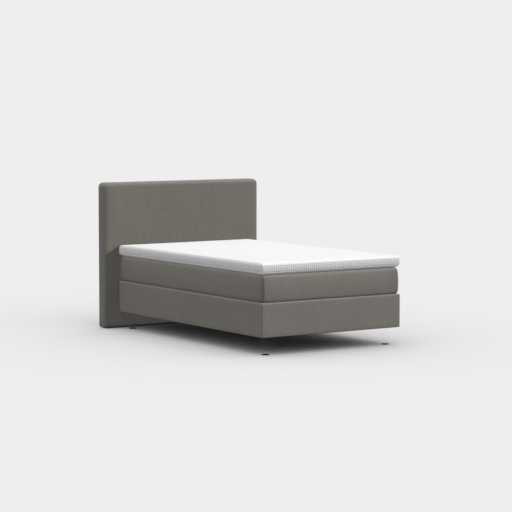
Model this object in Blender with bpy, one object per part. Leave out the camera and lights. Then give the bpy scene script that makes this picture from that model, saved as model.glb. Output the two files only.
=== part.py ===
"""Box spring bed: an upholstered spring box on four clear legs, its headboard, a mattress and a topper.

Metres, +Z up. The origin is on the floor under the middle of the bed's outline, the foot end faces -Y,
and left is -X. The mattress and the topper lift off along +Z, each carried by an empty at its underside.
"""

import math
from collections import namedtuple

import bmesh
import bpy

# Overall sizes
BED_WIDTH = 1.210
BED_LENGTH = 2.000
FLOOR_CLEARANCE = 0.130
BOX_HEIGHT = 0.2415
MATTRESS_HEIGHT = 0.1975
TOPPER_HEIGHT = 0.0835
HEADBOARD_WIDTH = 1.422
HEADBOARD_TOP = 1.1345
HEADBOARD_THICKNESS = 0.120
HEADBOARD_GAP = 0.012

# Clearances
SEAT = 0.0003
RUNNING = 0.002
CUT_OVERRUN = 0.004

# Cloths
COVER_CLOTH = 0.003
LINING_CLOTH = 0.001
HEM_WIDTH = 0.022
LINING_INSET = 0.008

# Spring box
BOX_CORNER = 0.008
BOX_TOP_ROLL = 0.011
BOX_BOTTOM_ROLL = 0.006
RAIL_THICKNESS = 0.022
TIMBER_EASE = 0.0025
CORNER_BLOCK_SIZE = 0.095
CORNER_BLOCK_HEIGHT = 0.032
CORNER_BLOCK_EDGE = 0.045
BEAM_WIDTH = 0.040
BEAM_HEIGHT = 0.057
SLAT_COUNT = 5
SLAT_WIDTH = 0.070
SLAT_THICKNESS = 0.018
FELT_THICKNESS = 0.005
PAD_THICKNESS = 0.017

# Pocket spring cores
POCKET_PITCH = 0.072
POCKET_SWELL = 0.010
POCKET_WAIST = 0.005
CORE_CLEARANCE = 0.003

# Legs
LEG_DIAMETER = 0.054
LEG_FROM_SIDE = 0.078
LEG_FROM_END = 0.075
LEG_EDGE = 0.0015
GLIDE_HEIGHT = 0.005
GLIDE_EDGE = 0.001
STUD_DIAMETER = 0.010
STUD_GRIP = 0.014
STUD_CHAMFER = 0.001

# Headboard
HEADBOARD_CLEARANCE = 0.006
HEADBOARD_FRONT_ROLL = 0.036
HEADBOARD_CROWN = 0.004
HEADBOARD_CROWN_RUN = 0.070
HEADBOARD_BACK_ROLL = 0.006
HEADBOARD_TOP_CORNER = 0.038
HEADBOARD_FOOT_CORNER = 0.012
HEADBOARD_FOAM = 0.038
HEADBOARD_BOARD = 0.008
STILE_WIDTH = 0.050
HEADBOARD_RAIL_WIDTH = 0.060
HEADBOARD_GLIDE_DIAMETER = 0.024
HEADBOARD_GLIDE_FROM_SIDE = 0.060

# Headboard brackets
BRACKET_FROM_SIDE = 0.205
BRACKET_WIDTH = 0.060
BRACKET_THICKNESS = 0.004
BRACKET_FLANGE = 0.045
BRACKET_ABOVE_BOX_FOOT = 0.070
BOLT_DIAMETER = 0.008
BOLT_HEAD_FLATS = 0.013
BOLT_HEAD_HEIGHT = 0.0053
BOLT_TAIL = 0.008
BOLT_BITE = 0.030

# Mattress
MATTRESS_INSET = 0.0045
MATTRESS_CORNER = 0.016
MATTRESS_LOWER_ROLL = 0.022
MATTRESS_LOWER_BULGE = 0.005
MATTRESS_UPPER_ROLL = 0.034
MATTRESS_UPPER_BULGE = 0.008
MATTRESS_WIDEST = 0.088
MATTRESS_CROWN = 0.0015
MATTRESS_CROWN_RUN = 0.120
MATTRESS_SEAM = 0.006
MATTRESS_BOTTOM_FOAM = 0.025
MATTRESS_TOP_FOAM = 0.041
FOAM_BORDER_WIDTH = 0.060

# Topper
TOPPER_OVERHANG = 0.001
TOPPER_SHIFT = 0.003
TOPPER_CLOTH = 0.0025
TOPPER_CORNER = 0.014
TOPPER_TOP_ROLL = 0.020
TOPPER_BOTTOM_ROLL = 0.028
TOPPER_CROWN = 0.003
TOPPER_CROWN_RUN = 0.260
TOPPER_LOWER_SEAM = 0.015
TOPPER_UPPER_SEAM = 0.057

# Smallest corner radius that a drawn-in outline keeps
LEAST_CORNER = 0.0035

# Facets
CORNER_STEPS = 4
ROLL_STEPS = 4
SMALL_ROLL_STEPS = 2
BULGE_STEPS = 3
CROWN_STEPS = 3
POCKET_STEPS = 3
LEG_SEGMENTS = 24
BOLT_SEGMENTS = 12

# Places worked out from the sizes
BOX_TOP = FLOOR_CLEARANCE + BOX_HEIGHT
MATTRESS_BASE = BOX_TOP + SEAT
TOPPER_BASE = MATTRESS_BASE + MATTRESS_HEIGHT + SEAT
OUTLINE_LENGTH = BED_LENGTH + HEADBOARD_GAP + HEADBOARD_THICKNESS
FOOT_Y = -OUTLINE_LENGTH / 2
HEAD_Y = FOOT_Y + BED_LENGTH
MIDDLE_Y = FOOT_Y + BED_LENGTH / 2
HEADBOARD_FRONT_Y = HEAD_Y + HEADBOARD_GAP
HEADBOARD_BACK_Y = HEADBOARD_FRONT_Y + HEADBOARD_THICKNESS
LINED = COVER_CLOTH + SEAT

FRAME_BASE = FLOOR_CLEARANCE + LINED
FRAME_INNER = LINED + RAIL_THICKNESS
BEAM_TOP = FRAME_BASE + BEAM_HEIGHT
SLAT_TOP = BEAM_TOP + SEAT + SLAT_THICKNESS
PAD_TOP = BOX_TOP - LINED
PAD_BASE = PAD_TOP - PAD_THICKNESS
RAIL_TOP = PAD_BASE - SEAT
FELT_BASE = RAIL_TOP - FELT_THICKNESS

BRACKET_WEB = FLOOR_CLEARANCE + BRACKET_ABOVE_BOX_FOOT
BOX_BOLT_Z = BRACKET_WEB - BRACKET_FLANGE / 2
HEADBOARD_BOLT_Z = BRACKET_WEB + BRACKET_THICKNESS + BRACKET_FLANGE / 2

# Depths from the wall through the headboard
COVER_BACK = LINING_CLOTH + SEAT
FRAME_BACK = COVER_BACK + LINED
FOAM_FRONT = HEADBOARD_THICKNESS - LINED
FOAM_BACK = FOAM_FRONT - HEADBOARD_FOAM
BOARD_BACK = FOAM_BACK - SEAT - HEADBOARD_BOARD
FRAME_FRONT = BOARD_BACK - SEAT
HEADBOARD_HALF = HEADBOARD_WIDTH / 2

Plan = namedtuple("Plan", "half_width near far near_corner far_corner")


# Scene helpers

def clear_scene():
    for thing in list(bpy.data.objects):
        bpy.data.objects.remove(thing, do_unlink=True)


def principled(name, colour, roughness, metallic=0.0, transmission=0.0):
    material = bpy.data.materials.new(name)
    material.use_nodes = True
    shader = material.node_tree.nodes["Principled BSDF"]
    shader.inputs["Base Color"].default_value = (*colour, 1.0)
    shader.inputs["Roughness"].default_value = roughness
    shader.inputs["Metallic"].default_value = metallic
    shader.inputs["Transmission Weight"].default_value = transmission
    material.diffuse_color = (*colour, 1.0)
    return material


def upholstery():
    return principled("upholstery", (0.157, 0.147, 0.130), 0.9)


def topper_knit():
    return principled("topper_knit", (0.86, 0.86, 0.86), 0.85)


def topper_mesh():
    return principled("topper_mesh", (0.62, 0.62, 0.62), 0.8)


def lining():
    return principled("lining", (0.02, 0.02, 0.022), 0.95)


def timber():
    return principled("timber", (0.55, 0.38, 0.21), 0.65)


def board():
    return principled("board", (0.36, 0.24, 0.14), 0.7)


def foam():
    return principled("foam", (0.80, 0.74, 0.55), 0.95)


def pocket_cloth():
    return principled("pocket_cloth", (0.75, 0.77, 0.80), 0.9)


def felt():
    return principled("felt", (0.25, 0.26, 0.28), 0.98)


def clear_acrylic():
    return principled("clear_acrylic", (0.95, 0.97, 0.98), 0.03, transmission=1.0)


def dark_glide():
    return principled("dark_glide", (0.02, 0.02, 0.02), 0.6)


def zinc_steel():
    return principled("zinc_steel", (0.55, 0.56, 0.58), 0.35, metallic=1.0)


def add_empty(name, location, rotation=(0.0, 0.0, 0.0)):
    empty = bpy.data.objects.new(name, None)
    empty.location = location
    empty.rotation_euler = rotation
    bpy.context.scene.collection.objects.link(empty)
    return empty


def add_object(name, mesh, material=None, parent=None):
    """Turns a closed bmesh into an object whose faces point out."""
    bmesh.ops.recalc_face_normals(mesh, faces=mesh.faces)
    data = bpy.data.meshes.new(name)
    mesh.to_mesh(data)
    mesh.free()
    data.shade_smooth()
    data.set_sharp_from_angle(angle=math.radians(35))
    if material:
        data.materials.append(material)
    thing = bpy.data.objects.new(name, data)
    thing.parent = parent
    bpy.context.scene.collection.objects.link(thing)
    return thing


def hide_cutter(cutter):
    cutter.hide_render = True
    cutter.display_type = "WIRE"
    return cutter


def cut(thing, cutter):
    boolean = thing.modifiers.new(cutter.name, "BOOLEAN")
    boolean.operation = "DIFFERENCE"
    boolean.solver = "EXACT"
    boolean.object = cutter


def ease_edges(thing, width):
    bevel = thing.modifiers.new("eased_edges", "BEVEL")
    bevel.width = width
    bevel.segments = 1
    bevel.limit_method = "ANGLE"
    bevel.angle_limit = math.radians(50)


# Rings and lofts

def outline(plan, inset):
    """Points round a plan drawn in by inset, with rounded corners, anticlockwise from above."""
    near = max(plan.near_corner - inset, LEAST_CORNER)
    far = max(plan.far_corner - inset, LEAST_CORNER)
    half = plan.half_width - inset
    corners = (
        (half - near, plan.near + inset + near, near),
        (half - far, plan.far - inset - far, far),
        (far - half, plan.far - inset - far, far),
        (near - half, plan.near + inset + near, near),
    )
    points = []
    for quarter, (x, y, radius) in enumerate(corners):
        for step in range(CORNER_STEPS + 1):
            turn = math.radians(90) * (quarter - 1 + step / CORNER_STEPS)
            points.append((x + radius * math.cos(turn), y + radius * math.sin(turn)))
    return points


def plan_rings(plan, profile):
    """One ring for each (inset, height) of a profile."""
    return [[(x, y, z) for x, y in outline(plan, inset)] for inset, z in profile]


def circle_ring(radius, z, segments):
    turns = [math.tau * k / segments for k in range(segments)]
    return [(radius * math.cos(turn), radius * math.sin(turn), z) for turn in turns]


def hexagon_ring(flats, z, segments):
    """A hexagon's outline with as many points as a round ring, so the two can be lofted."""
    points = []
    for k in range(segments):
        turn = math.tau * k / segments
        from_flat = (turn + math.tau / 12) % (math.tau / 6) - math.tau / 12
        reach = flats / 2 / math.cos(from_flat)
        points.append((reach * math.cos(turn), reach * math.sin(turn), z))
    return points


def loft(rings, looped=False):
    """A closed body through rings of equal counts, with flat ends or joined round to its start."""
    mesh = bmesh.new()
    loops = [[mesh.verts.new(point) for point in ring] for ring in rings]
    pairs = list(zip(loops, loops[1:]))
    if looped:
        pairs.append((loops[-1], loops[0]))
    else:
        mesh.faces.new(loops[0])
        mesh.faces.new(loops[-1])
    for lower, upper in pairs:
        for k in range(len(lower)):
            after = (k + 1) % len(lower)
            mesh.faces.new((lower[k], lower[after], upper[after], upper[k]))
    return mesh


def box_mesh(low, high):
    corners = ((low[0], low[1]), (high[0], low[1]), (high[0], high[1]), (low[0], high[1]))
    return loft([[(x, y, z) for x, y in corners] for z in (low[2], high[2])])


# Soft edges: (inset, height) profiles that rise from the lower flat's rim to the upper flat's

def rolled_edge(height, lower_roll, upper_roll, depth, lower_steps, upper_steps):
    """A straight side between two quarter-round rolls, at a depth under the outer face."""
    points = []
    for step in range(lower_steps + 1):
        turn = math.radians(90) * (1 - step / lower_steps)
        reach = lower_roll - depth
        points.append((lower_roll - reach * math.cos(turn), lower_roll - reach * math.sin(turn)))
    for step in range(upper_steps + 1):
        turn = math.radians(90) * step / upper_steps
        reach = upper_roll - depth
        points.append((upper_roll - reach * math.cos(turn), height - upper_roll + reach * math.sin(turn)))
    return points


def soft_half(reach, roll, bulge, depth):
    """From a flat's rim out round a roll and over a bulge, as (inset, distance from the flat)."""
    lean = math.atan(2 * bulge / (reach - roll))
    points = []
    for step in range(ROLL_STEPS + 1):
        turn = math.radians(90) + (lean - math.radians(90)) * step / ROLL_STEPS
        inset = bulge + roll * math.cos(lean) - (roll - depth) * math.cos(turn)
        points.append((inset, roll - (roll - depth) * math.sin(turn)))
    start = roll - roll * math.sin(lean)
    for step in range(1, BULGE_STEPS + 1):
        left = 1 - step / BULGE_STEPS
        slope = math.atan(2 * bulge * left / (reach - start))
        height = start + (reach - start) * (1 - left)
        points.append((bulge * left * left + depth * math.cos(slope), height + depth * math.sin(slope)))
    return points


def soft_edge(height, depth):
    """A side that swells at its widest height and draws in to both flats, at a depth under the outer face."""
    lower = soft_half(MATTRESS_WIDEST, MATTRESS_LOWER_ROLL, MATTRESS_LOWER_BULGE, depth)
    upper = soft_half(height - MATTRESS_WIDEST, MATTRESS_UPPER_ROLL, MATTRESS_UPPER_BULGE, depth)
    return lower + [(inset, height - z) for inset, z in upper[-2::-1]]


def crown(start, run, rise):
    """Points that carry on from a profile's last one, up over a low crown."""
    inset, z = start
    points = []
    for step in range(1, CROWN_STEPS + 1):
        share = step / CROWN_STEPS
        points.append((inset + run * share, z + rise * math.sin(math.radians(90) * share)))
    return points


def height_cut(profile, z):
    """The point of a rising profile at a height, on its chord, or its nearer end."""
    if z <= profile[0][1]:
        return profile[0]
    for (inset_a, z_a), (inset_b, z_b) in zip(profile, profile[1:]):
        if z <= z_b:
            share = (z - z_a) / (z_b - z_a)
            return (inset_a + (inset_b - inset_a) * share, z)
    return profile[-1]


def stretch(profile, low, high):
    """The part of a rising profile between two heights."""
    inside = [point for point in profile if low < point[1] < high]
    return [height_cut(profile, low)] + inside + [height_cut(profile, high)]


def above(profile, low):
    return [height_cut(profile, low)] + [point for point in profile if point[1] > low]


def below(profile, high):
    return [point for point in profile if point[1] < high] + [height_cut(profile, high)]


def lid(outer, inner):
    return inner[::-1] + outer


def tray(outer, inner):
    return inner + outer[::-1]


# Pocket spring cores

def pocket_outline(half_width, half_length, inset):
    """A row of swelling pockets along each side, anticlockwise from the near right corner."""
    across = round(2 * half_width / POCKET_PITCH)
    along = round(2 * half_length / POCKET_PITCH)
    x = half_width - POCKET_SWELL - inset
    y = half_length - POCKET_SWELL - inset
    sides = (
        ((x, -y), (0, 1), (1, 0), 2 * y, along),
        ((x, y), (-1, 0), (0, 1), 2 * x, across),
        ((-x, y), (0, -1), (-1, 0), 2 * y, along),
        ((-x, -y), (1, 0), (0, -1), 2 * x, across),
    )
    points = []
    for (start_x, start_y), (run_x, run_y), (out_x, out_y), length, count in sides:
        for k in range(count * POCKET_STEPS):
            share = k / (count * POCKET_STEPS)
            swell = POCKET_SWELL * math.sin(math.pi * (k % POCKET_STEPS) / POCKET_STEPS)
            points.append((
                start_x + run_x * length * share + out_x * swell,
                start_y + run_y * length * share + out_y * swell,
            ))
    return points


def pocket_core(name, half_width, half_length, middle_y, base, height, parent=None):
    """Barrel pockets side by side: each one swells at mid-height."""
    rings = []
    for z, inset in ((0.0, POCKET_WAIST), (height / 2, 0.0), (height, POCKET_WAIST)):
        points = pocket_outline(half_width, half_length, inset)
        rings.append([(x, y + middle_y, z + base) for x, y in points])
    return add_object(name, loft(rings), pocket_cloth(), parent)


# Spring box

def box_plan():
    return Plan(BED_WIDTH / 2, FOOT_Y, HEAD_Y, BOX_CORNER, BOX_CORNER)


def box_profile(depth):
    profile = rolled_edge(
        BOX_HEIGHT, BOX_BOTTOM_ROLL, BOX_TOP_ROLL, depth, SMALL_ROLL_STEPS, ROLL_STEPS
    )
    return [(inset, FLOOR_CLEARANCE + z) for inset, z in profile]


def add_side_rail(name, side):
    """A full-length rail whose two outer corners follow the inside of the cover's corners."""
    outer = BED_WIDTH / 2 - LINED
    inner = outer - RAIL_THICKNESS
    radius = BOX_CORNER - LINED
    near = FOOT_Y + LINED
    far = HEAD_Y - LINED
    points = [(inner, far), (inner, near)]
    for quarter, y in enumerate((near + radius, far - radius)):
        for step in range(CORNER_STEPS + 1):
            turn = math.radians(90) * (quarter - 1 + step / CORNER_STEPS)
            points.append((outer - radius + radius * math.cos(turn), y + radius * math.sin(turn)))
    rings = [[(side * x, y, z) for x, y in points] for z in (FRAME_BASE, RAIL_TOP)]
    rail = add_object(name, loft(rings), timber())
    ease_edges(rail, TIMBER_EASE)


def add_board(name, low, high, material, parent=None, ease=TIMBER_EASE):
    plank = add_object(name, box_mesh(low, high), material, parent)
    if ease:
        ease_edges(plank, ease)
    return plank


def add_end_rail(name, outer_y, inward):
    half = BED_WIDTH / 2 - FRAME_INNER - SEAT
    faces = sorted((outer_y + inward * LINED, outer_y + inward * FRAME_INNER))
    low = (-half, faces[0], FRAME_BASE)
    high = (half, faces[1], RAIL_TOP)
    return add_board(name, low, high, timber())


def add_centre_beam():
    low = (-BEAM_WIDTH / 2, FOOT_Y + FRAME_INNER + SEAT, FRAME_BASE)
    high = (BEAM_WIDTH / 2, HEAD_Y - FRAME_INNER - SEAT, BEAM_TOP)
    add_board("centre_beam", low, high, timber())


def add_slats():
    """Slats across the beam, between the side rails, at even steps."""
    half = BED_WIDTH / 2 - FRAME_INNER - SEAT
    room = BED_LENGTH - 2 * FRAME_INNER
    for k in range(SLAT_COUNT):
        middle = FOOT_Y + FRAME_INNER + room * (k + 0.5) / SLAT_COUNT
        low = (-half, middle - SLAT_WIDTH / 2, BEAM_TOP + SEAT)
        high = (half, middle + SLAT_WIDTH / 2, SLAT_TOP)
        add_board(f"slat_{k + 1}", low, high, timber())


def leg_places():
    """(name ending, x, y, side, end) of each leg; side and end point out of the bed."""
    x = BED_WIDTH / 2 - LEG_FROM_SIDE
    return (
        ("foot_left", -x, FOOT_Y + LEG_FROM_END, -1, -1),
        ("foot_right", x, FOOT_Y + LEG_FROM_END, 1, -1),
        ("head_left", -x, HEAD_Y - LEG_FROM_END, -1, 1),
        ("head_right", x, HEAD_Y - LEG_FROM_END, 1, 1),
    )


def round_cutter(name, radius, low, high, segments):
    cutter = add_object(name, loft([circle_ring(radius, z, segments) for z in (low, high)]))
    return hide_cutter(cutter)


def add_corner_blocks():
    """Glued five-sided blocks in the frame's corners, bored for the leg studs."""
    reach = CORNER_BLOCK_SIZE
    points = ((0, 0), (reach, 0), (reach, CORNER_BLOCK_EDGE), (CORNER_BLOCK_EDGE, reach), (0, reach))
    inner_x = BED_WIDTH / 2 - FRAME_INNER - SEAT
    for ending, x, y, side, end in leg_places():
        inner_y = (HEAD_Y if end > 0 else FOOT_Y) - end * (FRAME_INNER + SEAT)
        rings = []
        for z in (FRAME_BASE, FRAME_BASE + CORNER_BLOCK_HEIGHT):
            rings.append([(side * (inner_x - a), inner_y - end * b, z) for a, b in points])
        block = add_object(f"corner_block_{ending}", loft(rings), timber())
        bore = round_cutter(
            f"stud_bore_{ending}", STUD_DIAMETER / 2 + SEAT, FRAME_BASE - CUT_OVERRUN,
            FRAME_BASE + CORNER_BLOCK_HEIGHT + CUT_OVERRUN, BOLT_SEGMENTS,
        )
        bore.location = (x, y, 0.0)
        cut(block, bore)


def add_box_filling():
    half_width = BED_WIDTH / 2 - FRAME_INNER - CORE_CLEARANCE
    half_length = BED_LENGTH / 2 - FRAME_INNER - CORE_CLEARANCE
    core_base = SLAT_TOP + SEAT
    core_height = FELT_BASE - SEAT - core_base
    pocket_core("box_pocket_core", half_width, half_length, MIDDLE_Y, core_base, core_height)
    low = (-half_width, MIDDLE_Y - half_length, FELT_BASE)
    high = (half_width, MIDDLE_Y + half_length, RAIL_TOP)
    add_board("box_insulator_felt", low, high, felt(), ease=0)
    pad = above(box_profile(LINED), PAD_BASE)
    add_object("box_foam_pad", loft(plan_rings(box_plan(), pad)), foam())


def add_box_cover():
    """Top and borders in one sewn cover, turned in under the rails as a stapled hem."""
    outer = [(HEM_WIDTH, FLOOR_CLEARANCE)] + box_profile(0.0)
    inner = [(HEM_WIDTH, FLOOR_CLEARANCE + COVER_CLOTH)] + box_profile(COVER_CLOTH)
    return add_object("box_cover", loft(plan_rings(box_plan(), lid(outer, inner))), upholstery())


def add_dust_cloth():
    """The lining stapled over the hem, with a round hole for each leg."""
    top = FLOOR_CLEARANCE - SEAT
    profile = [(LINING_INSET, top - LINING_CLOTH), (LINING_INSET, top)]
    cloth = add_object("box_dust_cloth", loft(plan_rings(box_plan(), profile)), lining())
    for ending, x, y, side, end in leg_places():
        hole = round_cutter(
            f"leg_hole_{ending}", LEG_DIAMETER / 2 + RUNNING, top - LINING_CLOTH - CUT_OVERRUN,
            top + CUT_OVERRUN, LEG_SEGMENTS,
        )
        hole.location = (x, y, 0.0)
        cut(cloth, hole)


# Legs

def turned(name, profile, segments, material):
    rings = [circle_ring(radius, z, segments) for radius, z in profile]
    return add_object(name, loft(rings), material)


def add_legs():
    """Clear turned legs, each on a dark glide and held by a stud in its corner block."""
    radius = LEG_DIAMETER / 2
    base = GLIDE_HEIGHT + SEAT
    top = FRAME_BASE - SEAT
    bore = STUD_DIAMETER / 2 + SEAT
    leg_profile = (
        (radius - LEG_EDGE, base),
        (radius, base + LEG_EDGE),
        (radius, top - LEG_EDGE),
        (radius - LEG_EDGE, top),
        (bore, top),
        (bore, top - STUD_GRIP - SEAT),
    )
    glide_profile = (
        (radius - GLIDE_EDGE, 0.0),
        (radius, GLIDE_EDGE),
        (radius, GLIDE_HEIGHT - GLIDE_EDGE),
        (radius - GLIDE_EDGE, GLIDE_HEIGHT),
    )
    stud_low = top - STUD_GRIP
    stud_high = FRAME_BASE + CORNER_BLOCK_HEIGHT - STUD_CHAMFER
    stud_radius = STUD_DIAMETER / 2
    stud_profile = (
        (stud_radius - STUD_CHAMFER, stud_low),
        (stud_radius, stud_low + STUD_CHAMFER),
        (stud_radius, stud_high - STUD_CHAMFER),
        (stud_radius - STUD_CHAMFER, stud_high),
    )
    for ending, x, y, side, end in leg_places():
        leg = turned(f"leg_{ending}", leg_profile, LEG_SEGMENTS, clear_acrylic())
        glide = turned(f"glide_{ending}", glide_profile, LEG_SEGMENTS, dark_glide())
        stud = turned(f"leg_stud_{ending}", stud_profile, BOLT_SEGMENTS, zinc_steel())
        for piece in (leg, glide, stud):
            piece.location = (x, y, 0.0)


# Headboard, drawn lying on its back: local Y is the height above the floor, local Z the depth from the wall

def headboard_plan():
    return Plan(
        HEADBOARD_HALF, HEADBOARD_CLEARANCE, HEADBOARD_TOP, HEADBOARD_FOOT_CORNER, HEADBOARD_TOP_CORNER
    )


def headboard_profile(depth):
    profile = rolled_edge(
        HEADBOARD_THICKNESS - COVER_BACK - HEADBOARD_CROWN, HEADBOARD_BACK_ROLL, HEADBOARD_FRONT_ROLL,
        depth, SMALL_ROLL_STEPS, ROLL_STEPS,
    )
    profile += crown(profile[-1], HEADBOARD_CROWN_RUN, HEADBOARD_CROWN)
    return [(inset, COVER_BACK + z) for inset, z in profile]


def add_stile(name, side, place):
    """An upright whose outer corners follow the inside of the cover."""
    outer = HEADBOARD_HALF - LINED
    inner = outer - STILE_WIDTH
    low = HEADBOARD_CLEARANCE + LINED
    high = HEADBOARD_TOP - LINED
    points = [(inner, high), (inner, low)]
    corners = ((low, HEADBOARD_FOOT_CORNER - LINED, 1), (high, HEADBOARD_TOP_CORNER - LINED, -1))
    for quarter, (y, radius, up) in enumerate(corners):
        for step in range(CORNER_STEPS + 1):
            turn = math.radians(90) * (quarter - 1 + step / CORNER_STEPS)
            points.append((
                outer - radius + radius * math.cos(turn), y + up * radius + radius * math.sin(turn)
            ))
    rings = [[(side * x, y, z) for x, y in points] for z in (FRAME_BACK, FRAME_FRONT)]
    stile = add_object(name, loft(rings), timber(), place)
    ease_edges(stile, TIMBER_EASE)


def add_headboard_rail(name, middle, place):
    half = HEADBOARD_HALF - LINED - STILE_WIDTH - SEAT
    low = (-half, middle - HEADBOARD_RAIL_WIDTH / 2, FRAME_BACK)
    high = (half, middle + HEADBOARD_RAIL_WIDTH / 2, FRAME_FRONT)
    return add_board(name, low, high, timber(), place)


def add_headboard_frame(place):
    add_stile("headboard_left_stile", -1, place)
    add_stile("headboard_right_stile", 1, place)
    rail_reach = LINED + HEADBOARD_RAIL_WIDTH / 2
    add_headboard_rail("headboard_top_rail", HEADBOARD_TOP - rail_reach, place)
    add_headboard_rail("headboard_bottom_rail", HEADBOARD_CLEARANCE + rail_reach, place)
    return add_headboard_rail("headboard_middle_rail", HEADBOARD_BOLT_Z, place)


def add_headboard_padding(place):
    plan = headboard_plan()
    sheet = [(LINED, BOARD_BACK), (LINED, BOARD_BACK + HEADBOARD_BOARD)]
    front_board = add_object("headboard_front_board", loft(plan_rings(plan, sheet)), board(), place)
    padding = above(headboard_profile(LINED), FOAM_BACK)
    pad = add_object("headboard_foam", loft(plan_rings(plan, padding)), foam(), place)
    return front_board, pad


def add_headboard_cover(place):
    """A cover drawn over the foam and the frame's sides, turned in behind as a stapled hem."""
    plan = headboard_plan()
    outer = [(HEM_WIDTH, COVER_BACK)] + headboard_profile(0.0)
    inner = [(HEM_WIDTH, COVER_BACK + COVER_CLOTH)] + headboard_profile(COVER_CLOTH)
    cover = add_object("headboard_cover", loft(plan_rings(plan, lid(outer, inner))), upholstery(), place)
    back = [(LINING_INSET, 0.0), (LINING_INSET, LINING_CLOTH)]
    add_object("headboard_back_cloth", loft(plan_rings(plan, back)), lining(), place)
    return cover


def add_headboard_glides():
    radius = HEADBOARD_GLIDE_DIAMETER / 2
    profile = (
        (radius - GLIDE_EDGE, 0.0),
        (radius, GLIDE_EDGE),
        (radius, HEADBOARD_CLEARANCE - SEAT),
    )
    x = HEADBOARD_HALF - HEADBOARD_GLIDE_FROM_SIDE
    y = HEADBOARD_BACK_Y - (FRAME_BACK + FRAME_FRONT) / 2
    for ending, side in (("left", -1), ("right", 1)):
        glide = turned(f"headboard_glide_{ending}", profile, BOLT_SEGMENTS, dark_glide())
        glide.location = (side * x, y, 0.0)


# Brackets and bolts between box and headboard

def add_bracket(name, x):
    """A folded strip: its lower flange lies on the box, its upper one on the headboard."""
    near = HEAD_Y + SEAT
    far = HEADBOARD_FRONT_Y - SEAT
    web_top = BRACKET_WEB + BRACKET_THICKNESS
    points = (
        (near, BRACKET_WEB - BRACKET_FLANGE),
        (near + BRACKET_THICKNESS, BRACKET_WEB - BRACKET_FLANGE),
        (near + BRACKET_THICKNESS, BRACKET_WEB),
        (far, BRACKET_WEB),
        (far, web_top + BRACKET_FLANGE),
        (far - BRACKET_THICKNESS, web_top + BRACKET_FLANGE),
        (far - BRACKET_THICKNESS, web_top),
        (near, web_top),
    )
    faces = (x - BRACKET_WIDTH / 2, x + BRACKET_WIDTH / 2)
    return add_object(name, loft([[(face, y, z) for y, z in points] for face in faces]), zinc_steel())


def add_bolt(name, length):
    """A hexagon bolt along local Z, with its head below zero."""
    radius = BOLT_DIAMETER / 2
    rings = [
        hexagon_ring(BOLT_HEAD_FLATS, -BOLT_HEAD_HEIGHT, BOLT_SEGMENTS),
        hexagon_ring(BOLT_HEAD_FLATS, 0.0, BOLT_SEGMENTS),
        circle_ring(radius, 0.0, BOLT_SEGMENTS),
        circle_ring(radius, length, BOLT_SEGMENTS),
    ]
    return add_object(name, loft(rings), zinc_steel())


def bolt_cutter(name, length):
    return round_cutter(name, BOLT_DIAMETER / 2 + SEAT, -CUT_OVERRUN, length + SEAT, BOLT_SEGMENTS)


def add_brackets(box_pieces, headboard_pieces):
    """Two folded brackets, each bolted through the box's head end and into the headboard's rail."""
    box_face = HEAD_Y + SEAT + BRACKET_THICKNESS + SEAT
    box_length = box_face - HEAD_Y + FRAME_INNER + BOLT_TAIL
    board_face = HEADBOARD_FRONT_Y - SEAT - BRACKET_THICKNESS - SEAT
    board_length = HEADBOARD_BACK_Y - FRAME_FRONT - board_face + BOLT_BITE
    for ending, side in (("left", -1), ("right", 1)):
        x = side * (BED_WIDTH / 2 - BRACKET_FROM_SIDE)
        bracket = add_bracket(f"headboard_bracket_{ending}", x)
        runs = (
            ("box", box_face, BOX_BOLT_Z, box_length, math.radians(90), box_pieces),
            ("headboard", board_face, HEADBOARD_BOLT_Z, board_length, math.radians(-90), headboard_pieces),
        )
        for place, y, z, length, tilt, pieces in runs:
            bolt = add_bolt(f"{place}_bolt_{ending}", length)
            bore = bolt_cutter(f"{place}_bolt_bore_{ending}", length)
            for thing in (bolt, bore):
                thing.location = (x, y, z)
                thing.rotation_euler = (tilt, 0.0, 0.0)
            for piece in (bracket, *pieces):
                cut(piece, bore)


# Mattress, drawn from its own underside

def mattress_plan():
    return Plan(
        BED_WIDTH / 2 - MATTRESS_INSET, FOOT_Y + MATTRESS_INSET, HEAD_Y - MATTRESS_INSET,
        MATTRESS_CORNER, MATTRESS_CORNER,
    )


def mattress_profile(depth):
    side = soft_edge(MATTRESS_HEIGHT - MATTRESS_CROWN, depth)
    return side + crown(side[-1], MATTRESS_CROWN_RUN, MATTRESS_CROWN)


def add_mattress_covers(place):
    plan = mattress_plan()
    outer = mattress_profile(0.0)
    inner = mattress_profile(COVER_CLOTH)
    lower = MATTRESS_SEAM
    upper = MATTRESS_HEIGHT - MATTRESS_SEAM
    bottom = tray(below(outer, lower), below(inner, lower))
    add_object("mattress_bottom_panel", loft(plan_rings(plan, bottom)), upholstery(), place)
    span = (lower + SEAT, upper - SEAT)
    side = stretch(outer, *span) + stretch(inner, *span)[::-1]
    add_object("mattress_border", loft(plan_rings(plan, side), looped=True), upholstery(), place)
    top = lid(above(outer, upper), above(inner, upper))
    add_object("mattress_top_panel", loft(plan_rings(plan, top)), upholstery(), place)


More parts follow.
